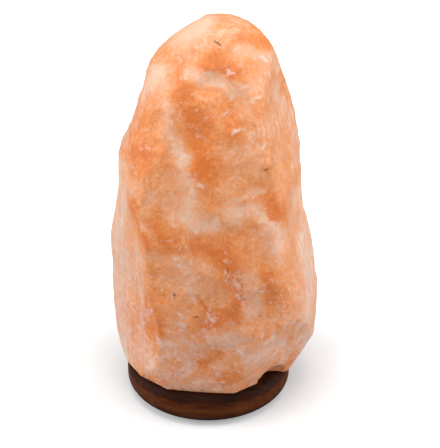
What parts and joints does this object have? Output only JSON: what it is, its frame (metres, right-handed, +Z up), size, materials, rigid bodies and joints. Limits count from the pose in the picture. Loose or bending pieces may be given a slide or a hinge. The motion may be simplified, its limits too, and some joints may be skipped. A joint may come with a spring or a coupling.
{
  "type": "salt crystal lamp",
  "caption": "Rough block of orange rock salt standing on a round dark wooden base, with a small screw-in bulb in a clipped-in holder inside the hollowed salt.",
  "frame": {"origin": "on the table, under the middle of the lamp's bounding box", "axes": "+Z up; the broad face of the crystal looks to -Y; the cord's groove leaves to +Y; +X is to the right seen from the front"},
  "size_m": [0.1344, 0.112, 0.2595],
  "materials": {
    "salt": "rough split salt crystal, translucent, orange with white veins",
    "stained_wood": "dark stain, satin varnish",
    "zinc_screws": "zinc plated",
    "nylon": "moulded nylon",
    "foot_rubber": "matte black",
    "black_phenolic": "moulded black phenolic",
    "steatite": "unglazed white steatite",
    "brass": "plain pressed brass",
    "spring_steel": "bright spring steel",
    "clear_glass": "clear",
    "nickelled_brass": "nickel plated",
    "vitrite": "black glass insulation",
    "solder": "dull solder",
    "lead_wire": "drawn nickel wire",
    "tungsten": "drawn tungsten coil"
  },
  "bodies": {
    "lamp_holder": {"holder_cap": "black_phenolic", "holder_skirt": "black_phenolic", "contact_block": "steatite", "screw_sleeve": "brass", "centre_contact": "brass", "side_contact": "brass", "terminal_posts": "brass", "terminal_screws": "zinc_screws", "clip_bracket": "spring_steel", "lock_nut": "zinc_screws"},
    "crystal_and_base": {"salt_crystal": "salt", "wooden_base": "stained_wood", "base_screws": "zinc_screws", "screw_plugs": "nylon", "rubber_feet": "foot_rubber"},
    "left_wing": {"clip_wing_left": "spring_steel"},
    "right_wing": {"clip_wing_right": "spring_steel"},
    "bulb_tip": {"bulb_contact": "solder"},
    "bulb": {"bulb_glass": "clear_glass", "bulb_cap": "nickelled_brass", "cap_insulator": "vitrite", "bulb_stem": "clear_glass", "lead_wires": "lead_wire", "filament": "tungsten"}
  },
  "joints": [
    {"name": "crystal_lift", "type": "slide", "parent": "lamp_holder", "child": "crystal_and_base", "axis": [0, 0, 1], "range_m": [0, 0.124]},
    {"name": "left_wing_squeeze", "type": "hinge", "parent": "lamp_holder", "child": "left_wing", "pos_m": [-0.01957, 0.00101, 0.032], "axis": [0, -1, 0], "range_deg": [0, 10], "stiffness_Nm_per_rad": 0.1, "springref_deg": -28.65},
    {"name": "right_wing_squeeze", "type": "hinge", "parent": "lamp_holder", "child": "right_wing", "pos_m": [0.01063, 0.00101, 0.032], "axis": [0, 1, 0], "range_deg": [0, 10], "stiffness_Nm_per_rad": 0.1, "springref_deg": -28.65},
    {"name": "bulb_rise", "type": "slide", "parent": "lamp_holder", "child": "bulb_tip", "axis": [0, 0, 1], "range_m": [0, 0.00847]},
    {"name": "bulb_turn", "type": "hinge", "parent": "bulb_tip", "child": "bulb", "pos_m": [-0.00447, 0.00101, 0.0433], "axis": [0, 0, 1], "range_deg": [0, 1080]}
  ],
  "couplings": [
    {"joint": "bulb_rise", "follows": "bulb_turn", "m_per_rad": 0.00044913}
  ]
}
